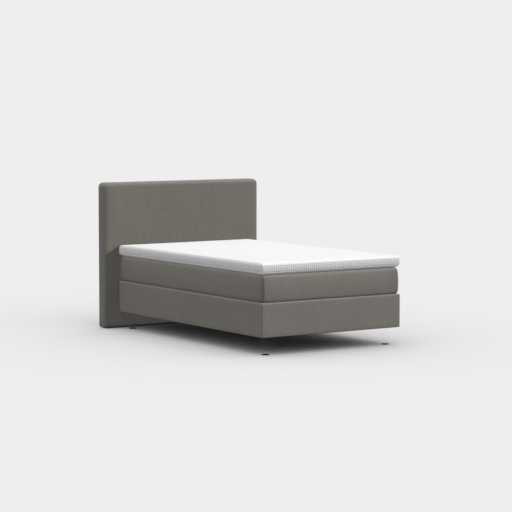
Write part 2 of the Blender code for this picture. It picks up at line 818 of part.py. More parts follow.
def add_mattress_filling(place):
    """Comfort foam below and above, and a foam border round the pocket core."""
    plan = mattress_plan()
    skin = mattress_profile(LINED)
    bottom_top = LINED + MATTRESS_BOTTOM_FOAM
    core_base = bottom_top + SEAT
    top_base = MATTRESS_HEIGHT - LINED - MATTRESS_TOP_FOAM
    core_top = top_base - SEAT
    add_object("mattress_bottom_foam", loft(plan_rings(plan, below(skin, bottom_top))), foam(), place)
    add_object("mattress_top_foam", loft(plan_rings(plan, above(skin, top_base))), foam(), place)
    wall = [(FOAM_BORDER_WIDTH, core_top), (FOAM_BORDER_WIDTH, core_base)]
    ring = stretch(skin, core_base, core_top) + wall
    add_object("mattress_foam_border", loft(plan_rings(plan, ring), looped=True), foam(), place)
    pocket_core(
        "mattress_pocket_core", plan.half_width - FOAM_BORDER_WIDTH - SEAT,
        (plan.far - plan.near) / 2 - FOAM_BORDER_WIDTH - SEAT, MIDDLE_Y, core_base,
        core_top - core_base, place,
    )


# Topper, drawn from its own underside

def topper_plan():
    return Plan(
        BED_WIDTH / 2 + TOPPER_OVERHANG, FOOT_Y - TOPPER_OVERHANG + TOPPER_SHIFT,
        HEAD_Y + TOPPER_OVERHANG + TOPPER_SHIFT, TOPPER_CORNER, TOPPER_CORNER,
    )


def topper_profile(depth):
    side = rolled_edge(
        TOPPER_HEIGHT - TOPPER_CROWN, TOPPER_BOTTOM_ROLL, TOPPER_TOP_ROLL, depth,
        ROLL_STEPS, ROLL_STEPS,
    )
    return side + crown(side[-1], TOPPER_CROWN_RUN, TOPPER_CROWN)


def add_topper(place):
    """A foam core in three panels: knit top, mesh border and knit underside."""
    plan = topper_plan()
    outer = topper_profile(0.0)
    inner = topper_profile(TOPPER_CLOTH)
    core = topper_profile(TOPPER_CLOTH + SEAT)
    add_object("topper_core", loft(plan_rings(plan, core)), foam(), place)
    bottom = tray(below(outer, TOPPER_LOWER_SEAM), below(inner, TOPPER_LOWER_SEAM))
    add_object("topper_bottom_panel", loft(plan_rings(plan, bottom)), topper_knit(), place)
    span = (TOPPER_LOWER_SEAM + SEAT, TOPPER_UPPER_SEAM - SEAT)
    side = stretch(outer, *span) + stretch(inner, *span)[::-1]
    add_object("topper_border", loft(plan_rings(plan, side), looped=True), topper_mesh(), place)
    top = lid(above(outer, TOPPER_UPPER_SEAM), above(inner, TOPPER_UPPER_SEAM))
    add_object("topper_top_panel", loft(plan_rings(plan, top)), topper_knit(), place)


# Assembly

def build_box():
    add_side_rail("left_side_rail", -1)
    add_side_rail("right_side_rail", 1)
    add_end_rail("foot_rail", FOOT_Y, 1)
    head_rail = add_end_rail("head_rail", HEAD_Y, -1)
    add_centre_beam()
    add_slats()
    add_corner_blocks()
    add_box_filling()
    cover = add_box_cover()
    add_dust_cloth()
    add_legs()
    return head_rail, cover


def build_headboard():
    place = add_empty("headboard_place", (0.0, HEADBOARD_BACK_Y, 0.0), (math.radians(90), 0.0, 0.0))
    middle_rail = add_headboard_frame(place)
    front_board, pad = add_headboard_padding(place)
    cover = add_headboard_cover(place)
    add_headboard_glides()
    return middle_rail, front_board, pad, cover


def main():
    clear_scene()
    box_pieces = build_box()
    headboard_pieces = build_headboard()
    add_brackets(box_pieces, headboard_pieces)
    mattress_place = add_empty("mattress_lift", (0.0, 0.0, MATTRESS_BASE))
    add_mattress_covers(mattress_place)
    add_mattress_filling(mattress_place)
    topper_place = add_empty("topper_lift", (0.0, 0.0, TOPPER_BASE))
    add_topper(topper_place)


main()
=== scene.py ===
"""Looks of the box spring bed: cloths, padding, legs, fixings, light and camera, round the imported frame.

Metres, +Z up, in the frame's own axes: the foot end faces -Y and left is -X.
"""

import math
from collections import namedtuple

import bpy
import numpy as np
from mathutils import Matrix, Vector


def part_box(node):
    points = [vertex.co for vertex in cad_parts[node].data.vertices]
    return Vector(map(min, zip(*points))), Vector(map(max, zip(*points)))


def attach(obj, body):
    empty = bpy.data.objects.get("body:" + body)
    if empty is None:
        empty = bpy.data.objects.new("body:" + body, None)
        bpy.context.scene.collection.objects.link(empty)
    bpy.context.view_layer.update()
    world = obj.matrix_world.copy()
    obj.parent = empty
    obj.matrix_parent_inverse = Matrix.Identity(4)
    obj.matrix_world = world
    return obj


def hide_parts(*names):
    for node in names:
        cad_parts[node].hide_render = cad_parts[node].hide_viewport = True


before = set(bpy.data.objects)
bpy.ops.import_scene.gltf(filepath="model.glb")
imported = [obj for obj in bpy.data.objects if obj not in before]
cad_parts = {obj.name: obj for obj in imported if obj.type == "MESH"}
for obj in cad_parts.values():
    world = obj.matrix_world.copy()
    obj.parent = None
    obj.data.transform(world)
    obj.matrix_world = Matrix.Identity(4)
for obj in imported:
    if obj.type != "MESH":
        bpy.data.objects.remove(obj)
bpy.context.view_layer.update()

# Camera, matched to the photograph's edges
CAMERA_PLACE = (-8.0002, -12.09325, 1.8015)
CAMERA_PITCH = -4.7301
CAMERA_TURN = -33.6668
CAMERA_LENS = 135.57
SENSOR_WIDTH = 36.0

# Light
BACKGROUND = 0.855
SKY = 0.27
FLOOR_BOUNCE = 0.27
KEY_TOWARDS = (0.65, -0.377, 0.43)
KEY_LEVEL = 0.866
KEY_ANGLE = 1.5
FILL_TOWARDS = (-0.215, -0.05, 0.47)
FILL_LEVEL = 0.519
FILL_ANGLE = 30.0
OVERHEAD_TOWARDS = (0.0, 0.0, 1.0)
OVERHEAD_LEVEL = 0.8
OVERHEAD_ANGLE = 153.0
FRONT_TOWARDS = (-0.1, -1.0, 0.2)
FRONT_LEVEL = 0.105
FRONT_ANGLE = 40.0
HEADBOARD_KEY_TOWARDS = (0.13, -0.377, 0.075)
HEADBOARD_KEY_LEVEL = 0.406
HEADBOARD_FILL_TOWARDS = (-0.15, 0.14, 0.70)
HEADBOARD_FILL_LEVEL = 0.729
HEADBOARD_FILL_ANGLE = 10.0
RIM_TOWARDS = (1.0, 0.0, 0.1)
RIM_LEVEL = 0.50
FOOT_POWER = 0.40
FOOT_WIDTH = 1.24
FOOT_HEIGHT = 0.10
FOOT_PLACE = (0.0, 0.696, 0.055)
UNDER_TOWARDS = (0.0, 0.0, -1.0)
UNDER_LEVEL = 0.12
UNDER_ANGLE = 40.0
FLOOR_LIGHT = SKY + OVERHEAD_LEVEL
FLOOR_SIZE = 120.0

# Cloth patterns
YARN = 0.0021
SLUB = 0.060
LOOP_WIDTH = 0.0016
LOOP_HEIGHT = 0.0012
RIB_PITCH = 0.018
HOLE_PITCH = 0.0032

# Cloth, puffs and seams
CLOTH = 0.003
PUFF_PRESSURE = 4.0
PUFF_FRAMES = 20
PUFF_RUN = 0.25
GAP = 0.0003
SEAM_WIDTH = 0.0022
CREVICE_SEAM_DEPTH = 0.0008
SEAM_SPREADS = (-0.0056, -0.0028, -0.0011, 0.0, 0.0011, 0.0028, 0.0056)
LEAST_CORNER = 0.006
HEM = 0.022
COVER_STEP = 0.030
CUSHION_STEP = 0.025
HIDDEN_STEP = 0.300

# Box
BOX_CORNER = 0.008
BOX_TOP_ROLL = 0.011
BOX_BOTTOM_ROLL = 0.006
BOX_TOP_RINGS = 5

# Headboard
HEADBOARD_FRONT_ROLL = 0.036
HEADBOARD_CROWN = 0.004
HEADBOARD_CROWN_RUN = 0.070
HEADBOARD_PUFF = 0.0015
HEADBOARD_PUFF_MARGIN = 0.10
HEADBOARD_TOP_CORNER = 0.038
HEADBOARD_BACK_ROLL = 0.006
HEADBOARD_FOOT_CORNER = 0.012
HEADBOARD_FRONT_RINGS = 15

# Mattress
MATTRESS_CORNER = 0.028
MATTRESS_SWELL = 0.0035
MATTRESS_LOWER_ROLL = 0.022
MATTRESS_LOWER_BULGE = 0.005
MATTRESS_UPPER_ROLL = 0.034
MATTRESS_UPPER_BULGE = 0.008
MATTRESS_WIDEST = 0.088
MATTRESS_SEAM = 0.006
MATTRESS_PUFF = 0.0020
# How far the painted shade reaches in from the mattress's upright corners
MATTRESS_PAINTED_SHADE_RUN = 0.065
PUCKER = 0.0006
PUCKER_RUN = 0.030
PUCKER_WAVES = ((0.083, 0.4), (0.131, 2.1), (0.229, 4.0))
MATTRESS_SIDE_STEP = 0.009
SOFT_STEPS = 12

# Topper
TOPPER_CORNER = 0.014
TOPPER_TOP_ROLL = 0.020
TOPPER_BOTTOM_ROLL = 0.028
TOPPER_LOWER_SEAM = 0.015
TOPPER_UPPER_SEAM = 0.057
TOPPER_CROWN = 0.003
TOPPER_CROWN_RUN = 0.260
TOPPER_PUFF = 0.0020
TOPPER_PUFF_MARGIN = 0.03
BORDER_STEP = 0.012
BORDER_RIM = 0.4
LIP_END = 0.0020
RECESS_EDGE = 0.0008
RECESS_START = 0.0006
RECESS_END = 0.0005
SHOULDER_START = 0.0016
BORDER_DEPTH = 0.0040
SEAM_GAP = 0.0022
BORDER_BULGE = 0.0016
SHOULDER_LEAN = 9.0
SHOULDER_END = 25.0
SHOULDER_RADIUS = 0.034

# Linings, staples and tape
LINING_SAG = 0.0015
LINING_RIPPLE = 0.0007
LINING_RUN = 0.040
LEG_GAP = 0.0004
STAPLE_PITCH = 0.070
STAPLE_END = 0.040
STAPLE_INSET = 0.009
STAPLE_HALF = 0.0055
STAPLE_WIRE = 0.0005
STAPLE_SIDES = 6
STAPLE_RINGS = 4
LINING_STEP = 0.022
TAPE = 0.0009
TAPE_HEIGHT = 0.0011

# Legs
LEG_ENDINGS = ("foot_left", "foot_right", "head_left", "head_right")
LEG_EDGE = 0.0016
GLIDE_EDGE = 0.0012
SHARP_ANGLE = 40.0

Plan = namedtuple("Plan", "x y half_x half_y near_corner far_corner")


# Nodes

def add_node(tree, kind, inputs=None, **settings):
    """A node whose inputs take values or other nodes' outputs."""
    made = tree.nodes.new(kind)
    for name, value in settings.items():
        setattr(made, name, value)
    for name, value in (inputs or {}).items():
        if isinstance(value, bpy.types.NodeSocket):
            tree.links.new(value, made.inputs[name])
        else:
            made.inputs[name].default_value = value
    return made


def calc(tree, operation, a, b=0.0, clamp=False):
    return add_node(tree, "ShaderNodeMath", {0: a, 1: b}, operation=operation, use_clamp=clamp).outputs[0]


def weighed(tree, *parts):
    """The sum of values, each times its weight."""
    total = None
    for value, weight in parts:
        part = calc(tree, "MULTIPLY", value, weight)
        total = part if total is None else calc(tree, "ADD", total, part)
    return total


def wave(tree, value, factor):
    return calc(tree, "SINE", calc(tree, "MULTIPLY", value, factor))


def split(tree, place):
    return add_node(tree, "ShaderNodeSeparateXYZ", {0: place}).outputs


def scaled(tree, place, size):
    """A place divided by a pattern's size along each axis."""
    factor = tuple(1.0 / length for length in size)
    return add_node(tree, "ShaderNodeVectorMath", {0: place, 1: factor}, operation="MULTIPLY").outputs[0]


def noise(tree, place, size, detail=2.0, roughness=0.5):
    values = {"Vector": scaled(tree, place, size), "Scale": 1.0, "Detail": detail, "Roughness": roughness}
    return add_node(tree, "ShaderNodeTexNoise", values).outputs["Fac"]


def spread(tree, value, low, high, to_low=0.0, to_high=1.0):
    values = {"Value": value, "From Min": low, "From Max": high, "To Min": to_low, "To Max": to_high}
    return add_node(tree, "ShaderNodeMapRange", values).outputs["Result"]


def blend_colour(tree, factor, low, high):
    made = add_node(tree, "ShaderNodeMix", data_type="RGBA")
    for name, value in (("Factor_Float", factor), ("A_Color", low), ("B_Color", high)):
        socket = next(s for s in made.inputs if s.identifier == name)
        if isinstance(value, bpy.types.NodeSocket):
            tree.links.new(value, socket)
        else:
            socket.default_value = value
    return next(s for s in made.outputs if s.identifier == "Result_Color")


def blend_value(tree, factor, low, high):
    values = {0: factor, 2: low, 3: high}
    return add_node(tree, "ShaderNodeMix", values, data_type="FLOAT").outputs[0]


def grey(level):
    return (level, level, level, 1.0)


def new_material(name, **sockets):
    material = bpy.data.materials.new(name)
    material.use_nodes = True
    surface = material.node_tree.nodes["Principled BSDF"]
    for socket, value in sockets.items():
        surface.inputs[socket.replace("_", " ")].default_value = value
    return material, material.node_tree, surface


def finish_material(tree, surface, colour, roughness=None, height=None, depth=0.0, strength=1.0):
    tree.links.new(colour, surface.inputs["Base Color"])
    if roughness is not None:
        tree.links.new(roughness, surface.inputs["Roughness"])
    if height is not None:
        bump = add_node(tree, "ShaderNodeBump", {"Height": height, "Distance": depth, "Strength": strength})
        tree.links.new(bump.outputs["Normal"], surface.inputs["Normal"])


def cloth_place(tree):
    return add_node(tree, "ShaderNodeUVMap", uv_map="cloth").outputs["UV"]


def object_place(tree):
    return add_node(tree, "ShaderNodeTexCoord").outputs["Object"]


# Materials

def upholstery():
    """A plain weave of mixed yarns, with slubs in both directions, faint cross stripes, and painted shade
    where a piece is marked for it.
    """
    material, tree, surface = new_material(
        "upholstery", Roughness=0.9, Sheen_Weight=0.12, Sheen_Roughness=0.6, Specular_IOR_Level=0.15)
    place = cloth_place(tree)
    wander = noise(tree, place, (0.018, 0.018, 1.0), 1.0)
    drift = calc(tree, "MULTIPLY", calc(tree, "SUBTRACT", wander, 0.5), YARN * 0.8)
    shifted = (calc(tree, "ADD", along, drift) for along in split(tree, place)[:2])
    waves = [wave(tree, along, math.pi / YARN) for along in shifted]
    over = spread(tree, calc(tree, "MULTIPLY", *waves), -0.25, 0.25)
    warp, weft = (calc(tree, "ABSOLUTE", value) for value in waves)
    weave = blend_value(tree, over, weft, warp)
    warp_slub = noise(tree, place, (YARN * 1.1, SLUB, 1.0), 1.0)
    weft_slub = noise(tree, place, (SLUB, YARN * 1.1, 1.0), 1.0)
    yarn = blend_value(tree, over, weft_slub, warp_slub)
    upright = noise(tree, place, (0.016, 0.40, 1.0))
    stripes = calc(tree, "ADD", upright, noise(tree, place, (0.40, 0.016, 1.0)))
    cloud = noise(tree, place, (0.30, 0.30, 1.0), 3.0)
    tone = weighed(tree, (yarn, 0.50), (weave, 0.26), (stripes, 0.14), (cloud, 0.10))
    share = spread(tree, tone, 0.35, 0.95)
    own_colour = blend_colour(tree, share, (0.140, 0.130, 0.1135, 1.0), (0.310, 0.292, 0.2635, 1.0))
    # Painted shade: a darker copy of the cloth's colours, blended in where the mesh's attribute marks it,
    # towards the mattress's upright corners.
    painted_shade = blend_colour(tree, share, (0.112, 0.104, 0.091, 1.0), (0.262, 0.247, 0.2225, 1.0))
    corner_shade_mask = add_node(tree, "ShaderNodeAttribute", attribute_name="painted_shade").outputs["Fac"]
    colour = blend_colour(tree, corner_shade_mask, own_colour, painted_shade)
    height = calc(tree, "ADD", weave, calc(tree, "MULTIPLY", yarn, 0.6))
    finish_material(tree, surface, colour, spread(tree, yarn, 0.2, 0.8, 0.82, 0.96), height, 0.00035, 0.6)
    return material


def topper_knit():
    """White jersey: rows of small loops, and a soft unevenness."""
    material, tree, surface = new_material(
        "topper_knit", Roughness=0.85, Sheen_Weight=0.05, Specular_IOR_Level=0.15)
    place = cloth_place(tree)
    flat = split(tree, place)
    ribs = calc(tree, "ABSOLUTE", wave(tree, flat[0], math.pi / LOOP_WIDTH))
    rows = calc(tree, "ABSOLUTE", wave(tree, flat[1], math.pi / LOOP_HEIGHT))
    loops = calc(tree, "MULTIPLY", ribs, rows)
    cloud = noise(tree, place, (0.05, 0.05, 1.0), 3.0)
    fuzz = noise(tree, place, (0.0015, 0.0015, 1.0))
    tone = weighed(tree, (loops, 0.4), (cloud, 0.35), (fuzz, 0.25))
    colour = blend_colour(tree, spread(tree, tone, 0.2, 0.8), grey(0.775), grey(0.845))
    height = calc(tree, "ADD", loops, calc(tree, "MULTIPLY", fuzz, 0.4))
    finish_material(tree, surface, colour, spread(tree, fuzz, 0.2, 0.8, 0.8, 0.95), height, 0.0002, 0.5)
    return material


def topper_mesh():
    """Spacer mesh: upright ribs with rows of small holes between them."""
    material, tree, surface = new_material(
        "topper_mesh", Roughness=0.75, Sheen_Weight=0.05, Specular_IOR_Level=0.25)
    place = cloth_place(tree)
    flat = split(tree, place)
    rib = spread(tree, wave(tree, flat[0], math.tau / RIB_PITCH), -0.6, 0.9)
    across = wave(tree, flat[0], 6 * math.tau / RIB_PITCH)
    up = wave(tree, flat[1], math.tau / HOLE_PITCH)
    hole = spread(tree, calc(tree, "MULTIPLY", across, up), 0.25, 0.7)
    fuzz = noise(tree, place, (0.003, 0.003, 1.0))
    between = calc(tree, "SUBTRACT", 1.0, calc(tree, "MULTIPLY", rib, 0.7))
    open_share = calc(tree, "MULTIPLY", hole, between)
    body = blend_colour(tree, weighed(tree, (rib, 0.75), (fuzz, 0.25)), grey(0.60), grey(0.90))
    colour = blend_colour(tree, open_share, body, grey(0.40))
    height = calc(tree, "SUBTRACT", rib, calc(tree, "MULTIPLY", open_share, 0.5))
    finish_material(tree, surface, colour, None, height, 0.0009, 0.8)
    return material


def lining():
    """Black non-woven cloth with its pattern of small welded dots."""
    material, tree, surface = new_material("lining", Roughness=0.95, Specular_IOR_Level=0.2)
    place = object_place(tree)
    pitch = scaled(tree, place, (0.0035, 0.0035, 0.0035))
    dots = add_node(tree, "ShaderNodeTexVoronoi", {"Vector": pitch, "Scale": 1.0, "Randomness": 0.15})
    dot = spread(tree, dots.outputs["Distance"], 0.15, 0.32)
    fibre = noise(tree, place, (0.0012, 0.009, 0.009), 3.0)
    tone = calc(tree, "MULTIPLY", calc(tree, "ADD", dot, fibre), 0.5)
    colour = blend_colour(tree, tone, grey(0.016), (0.075, 0.075, 0.079, 1.0))
    finish_material(tree, surface, colour, spread(tree, fibre, 0.2, 0.8, 0.8, 1.0), tone, 0.0003, 0.5)
    return material


def along_grain(grain_axis, length, width):
    """A pattern's size with its length on the grain's axis."""
    return tuple(length if axis == grain_axis else width for axis in "xyz")


def timber(grain_axis):
    """Planed pine with its grain along one axis: growth rings, fine fibres and a few darker streaks."""
    material, tree, surface = new_material(f"timber_{grain_axis}", Roughness=0.6, Specular_IOR_Level=0.3)
    place = object_place(tree)
    wander = noise(tree, place, along_grain(grain_axis, 0.55, 0.028))
    rings = wave(tree, wander, 38.0)
    fibres = noise(tree, place, along_grain(grain_axis, 0.12, 0.0011), 3.0)
    tone = calc(tree, "ADD", spread(tree, rings, -1.0, 1.0, 0.0, 0.6), calc(tree, "MULTIPLY", fibres, 0.4))
    colour = blend_colour(tree, tone, (0.40, 0.235, 0.105, 1.0), (0.64, 0.46, 0.27, 1.0))
    finish_material(tree, surface, colour, spread(tree, fibres, 0.2, 0.8, 0.5, 0.72), fibres, 0.0003, 0.4)
    return material


def board():
    """Hardboard: brown pressed fibres."""
    material, tree, surface = new_material("board", Roughness=0.7)
    place = object_place(tree)
    chips = noise(tree, place, (0.004, 0.004, 0.004), 4.0, 0.65)
    patches = noise(tree, place, (0.08, 0.08, 0.08))
    share = spread(tree, weighed(tree, (chips, 0.7), (patches, 0.3)), 0.3, 0.7)
    colour = blend_colour(tree, share, (0.17, 0.095, 0.045, 1.0), (0.33, 0.20, 0.105, 1.0))
    finish_material(tree, surface, colour, spread(tree, chips, 0.3, 0.7, 0.55, 0.8), chips, 0.0002, 0.4)
    return material


def zinc_steel():
    """Zinc plate with soft crystal patches and fine drawing marks."""
    material, tree, surface = new_material("zinc_steel", Metallic=1.0, Roughness=0.35)
    place = object_place(tree)
    size = scaled(tree, place, (0.006, 0.006, 0.006))
    cells = add_node(tree, "ShaderNodeTexVoronoi", {"Vector": size, "Scale": 1.0})
    patch = split(tree, cells.outputs["Color"])[0]
    marks = noise(tree, place, (0.05, 0.0006, 0.0006), 3.0)
    tone = weighed(tree, (patch, 0.5), (marks, 0.5))
    colour = blend_colour(tree, tone, (0.50, 0.51, 0.53, 1.0), (0.72, 0.73, 0.75, 1.0))
    finish_material(tree, surface, colour, spread(tree, tone, 0.2, 0.8, 0.26, 0.48), marks, 0.00008, 0.3)
    return material


def clear_acrylic():
    """Clear acrylic, so nearly invisible that only its rims and a faint haze show."""
    material, tree, surface = new_material("clear_acrylic", Roughness=0.05, Alpha=0.012)
    place = object_place(tree)
    haze = noise(tree, place, (0.02, 0.02, 0.04), 3.0)
    colour = blend_colour(tree, haze, (0.86, 0.89, 0.90, 1.0), (0.93, 0.95, 0.96, 1.0))
    finish_material(tree, surface, colour, spread(tree, haze, 0.3, 0.7, 0.03, 0.09))
    return material


def dark_glide():
    """Moulded black plastic with a fine eroded grain and grey scuffs."""
    material, tree, surface = new_material("dark_glide", Roughness=0.6, Specular_IOR_Level=0.2)
    place = object_place(tree)
    grain = noise(tree, place, (0.0009, 0.0009, 0.0009))
    scuffs = spread(tree, noise(tree, place, (0.004, 0.012, 0.002), 4.0, 0.7), 0.56, 0.75)
    colour = blend_colour(tree, scuffs, (0.006, 0.006, 0.0065, 1.0), (0.030, 0.029, 0.028, 1.0))
    finish_material(tree, surface, colour, spread(tree, grain, 0.3, 0.7, 0.5, 0.75), grain, 0.0001, 0.4)
    return material


# Rings

def ring(plan, inset, counts):
    """Points and outward normals of the plan drawn in by inset.

    They run anticlockwise from above, from the middle of the near left corner.
    """
    across, along, bends = counts
    near = max(plan.near_corner - inset, LEAST_CORNER)
    far = max(plan.far_corner - inset, LEAST_CORNER)
    radii = (near, near, far, far)
    signs = ((-1, -1), (1, -1), (1, 1), (-1, 1))
    reach = np.array((plan.half_x - inset, plan.half_y - inset))
    centres = [np.array(sign) * (reach - radius) for sign, radius in zip(signs, radii)]
    points, normals = [], []
    for side in range(4):
        after = (side + 1) % 4
        steps = along if side % 2 else across
        share = np.concatenate((np.zeros(bends), np.arange(steps) / steps, np.ones(bends)))[:, None]
        bend = np.concatenate((np.arange(-bends, 0), np.zeros(steps), np.arange(bends))) / bends
        turn = math.radians(270 + 90 * side) + math.radians(45) * bend
        facing = np.stack((np.cos(turn), np.sin(turn)), axis=1)
        centre = centres[side] * (1 - share) + centres[after] * share
        radius = radii[side] * (1 - share) + radii[after] * share
        points.append(centre + radius * facing)
        normals.append(facing)
    return np.concatenate(points) + (plan.x, plan.y), np.concatenate(normals)


def cap_indices(counts, ring_start, inner_start):
    """A grid of vertex numbers inside a ring: its border is the ring, the rest are the cap's own."""
    across, along, bends = counts
    wide, long = across + 2 * bends, along + 2 * bends
    grid = np.zeros((wide + 1, long + 1), int)
    around = 2 * (wide + long)
    grid[:, 0] = np.arange(wide + 1)
    grid[wide, :] = wide + np.arange(long + 1)
    grid[:, long] = wide + long + np.arange(wide, -1, -1)
    grid[0, :] = (2 * wide + long + np.arange(long, -1, -1)) % around
    grid += ring_start
    inner = (wide - 1) * (long - 1)
    grid[1:-1, 1:-1] = inner_start + np.arange(inner).reshape(wide - 1, long - 1)
    return grid


def cap_points(outline, counts, z, rise):
    """The places of a cap's own vertices: straight grid lines between the ring's sides."""
    across, along, bends = counts
    wide, long = across + 2 * bends, along + 2 * bends
    xs = outline[1:wide, 0]
    ys = outline[wide + 1:wide + long, 1]
    x, y = np.meshgrid(xs, ys, indexing="ij")
    return np.stack((x, y, z + rise(x, y)), axis=2).reshape(-1, 3)


def grid_faces(grid, upward):
    a, b, c, d = grid[:-1, :-1], grid[1:, :-1], grid[1:, 1:], grid[:-1, 1:]
    order = (a, b, c, d) if upward else (a, d, c, b)
    return np.stack([corner.ravel() for corner in order], axis=1)


def no_rise(x, y):
    return np.zeros_like(x)


def ring_faces(low, high, around):
    """Quads between two rings that start at these vertex numbers."""
    column = np.arange(around)
    after = (column + 1) % around
    return np.stack((low + column, low + after, high + after, high + column), axis=1)


def band_maps(outlines, normals, profile, panels, bands):
    """The cloth map of each band of quads: flat with its cap, or along the outline and up the profile."""
    insets, heights = np.array(profile).T
    steps = np.hypot(np.diff(insets), np.diff(heights))
    lengths = np.concatenate(((0.0,), np.cumsum(steps)))
    tops = np.append(lengths[1:], lengths[-1] + CLOTH)
    widest = outlines[int(np.argmin(insets))]
    chords = np.linalg.norm(np.roll(widest, -1, axis=0) - widest, axis=1)
    girth = np.concatenate(((0.0,), np.cumsum(chords)))
    start_map = [outlines[0] + normals[0] * run for run in lengths]
    end_map = [outlines[-1] + normals[-1] * (lengths[-1] - run) for run in lengths]
    maps = []
    for band in range(bands):
        if panels[0] <= band < panels[1]:
            low, top = lengths[band], tops[band]
            places = ((girth[:-1], low), (girth[1:], low), (girth[1:], top), (girth[:-1], top))
            corners = [np.column_stack((along, np.full(len(along), up))) for along, up in places]
        else:
            low, high = (start_map if band < panels[0] else end_map)[band:band + 2]
            corners = (low, np.roll(low, -1, axis=0), np.roll(high, -1, axis=0), high)
        maps.append(np.stack(corners, axis=1).reshape(-1, 2))
    return maps


def shell(name, plan, profile, counts, panels=None, capped=True, rise=no_rise):
    """A mesh through rings at (inset, height), with a cloth map in metres.

    Bands before panels[0] are mapped flat with the start cap, and those from panels[1] with the end cap.
    The others are mapped along the outline and up the profile. Without caps the last ring joins the first.
    """
    rings = len(profile)
    outlines, normals = zip(*(ring(plan, inset, counts) for inset, z in profile))
    around = len(outlines[0])
    verts = [np.column_stack((line, np.full(around, z))) for line, (inset, z) in zip(outlines, profile)]
    bands = rings - 1 if capped else rings
    faces = [ring_faces(band * around, (band + 1) % rings * around, around) for band in range(bands)]
    maps = band_maps(outlines, normals, profile, panels or (0, rings), bands)
    verts = np.concatenate(verts)
    caps = ((0, False, no_rise), (rings - 1, True, rise)) if capped else ()
    for index, upward, lift in caps:
        inner = cap_points(outlines[index], counts, profile[index][1], lift)
        quads = grid_faces(cap_indices(counts, index * around, len(verts)), upward)
        verts = np.concatenate((verts, inner))
        faces.append(quads)
        maps.append(verts[quads.ravel()][:, :2])
    return make_mesh(name, verts.tolist(), np.concatenate(faces).tolist(), np.concatenate(maps))


def make_mesh(name, verts, faces, cloth_map=None):
    mesh = bpy.data.meshes.new(name)
    mesh.from_pydata(verts, [], faces)
    if cloth_map is not None:
        layer = mesh.uv_layers.new(name="cloth")
        layer.data.foreach_set("uv", np.asarray(cloth_map, np.float32).ravel())
    mesh.shade_smooth()
    thing = bpy.data.objects.new(name, mesh)
    bpy.context.scene.collection.objects.link(thing)
    return thing


def counts_for(plan, spacing, bends):
    across = round(2 * plan.half_x / spacing)
    along = round(2 * plan.half_y / spacing)
    return across, along, bends


# Profiles

def quarter(inset, z, radius, start, end, steps):
    """An arc about (inset, z): -90 degrees points down, 0 out of the side and 90 up."""
    turns = np.radians(np.linspace(start, end, steps + 1))
    return [(inset - radius * math.cos(t), z + radius * math.sin(t)) for t in turns]


def arc(start, radius, lean, end, steps):
    """Points that carry on from one on the side, leaning in from lean to end degrees."""
    first = math.radians(lean)
    points = []
    for turn in np.radians(np.linspace(lean, end, steps + 1))[1:]:
        inset = start[0] + radius * (math.cos(first) - math.cos(turn))
        points.append((inset, start[1] + radius * (math.sin(turn) - math.sin(first))))
    return points


def straight(low, high, spacing):
    """Even points between two heights of an upright side, without its ends."""
    count = max(2, round((high[1] - low[1]) / spacing))
    climb = (high[0] - low[0], high[1] - low[1])
    return [(low[0] + climb[0] * k / count, low[1] + climb[1] * k / count) for k in range(1, count)]


def rolled(low, high, lower_roll, upper_roll, depth, steps, spacing):
    """A straight side between two rolls, at a depth under its outer face."""
    lower = quarter(lower_roll, low + lower_roll, lower_roll - depth, -90, 0, steps)
    upper = quarter(upper_roll, high - upper_roll, upper_roll - depth, 0, 90, steps + 2)
    return lower + straight(lower[-1], upper[0], spacing) + upper


def sewn(line, seams, spacing, seam_depth):
    """A rising profile at even steps, drawn in as a groove at each seam's height."""
    line = np.array(line)
    lengths = np.concatenate(((0.0,), np.cumsum(np.hypot(*np.diff(line, axis=0).T))))
    marks = [np.interp(seam, line[:, 1], lengths) for seam in seams]
    even = np.linspace(0.0, lengths[-1], round(lengths[-1] / spacing) + 1)
    reach = 1.3 * SEAM_SPREADS[-1]
    kept = [place for place in even if all(abs(place - mark) > reach for mark in marks)]
    places = np.array(sorted(kept + [mark + offset for mark in marks for offset in SEAM_SPREADS]))
    inset, z = (np.interp(places, lengths, line[:, k]) for k in (0, 1))
    lean, climb = np.gradient(inset, places), np.gradient(z, places)
    depth = sum(seam_depth * np.exp(-((places - mark) / SEAM_WIDTH) ** 2) for mark in marks)
    return list(zip(inset + climb * depth, z - lean * depth))


def crowned(start, run, rise, steps):
    """Points that carry on from a profile's last one, up over a low crown."""
    shares = np.arange(1, steps + 1) / steps
    return [(start[0] + run * s, start[1] + rise * math.sin(math.radians(90) * s)) for s in shares]


# Soft forms

def vertex_values(piece, kind):
    values = np.zeros(len(piece.data.vertices) * 3, np.float32)
    piece.data.vertices.foreach_get(kind, values)
    return values.reshape(-1, 3).astype(float)


def points_of(piece):
    return vertex_values(piece, "co")


def move_points(piece, points):
    piece.data.vertices.foreach_set("co", points.astype(np.float32).ravel())
    piece.data.update()


def from_sides(points, plan):
    """How far in each point is from the plan's sides, in X and in Y."""
    from_x = plan.half_x - np.abs(points[:, 0] - plan.x)
    from_y = plan.half_y - np.abs(points[:, 1] - plan.y)
    return from_x, from_y


def free_share(piece, plan, above, margin):
    """How free each point of a flat is to puff: above this height, and from a margin inside its rim."""
    points = points_of(piece)
    reach = np.minimum(*from_sides(points, plan))
    inner = np.clip((reach - margin) / PUFF_RUN, 0.0, 1.0)
    return np.where(points[:, 2] > above, inner, 0.0)


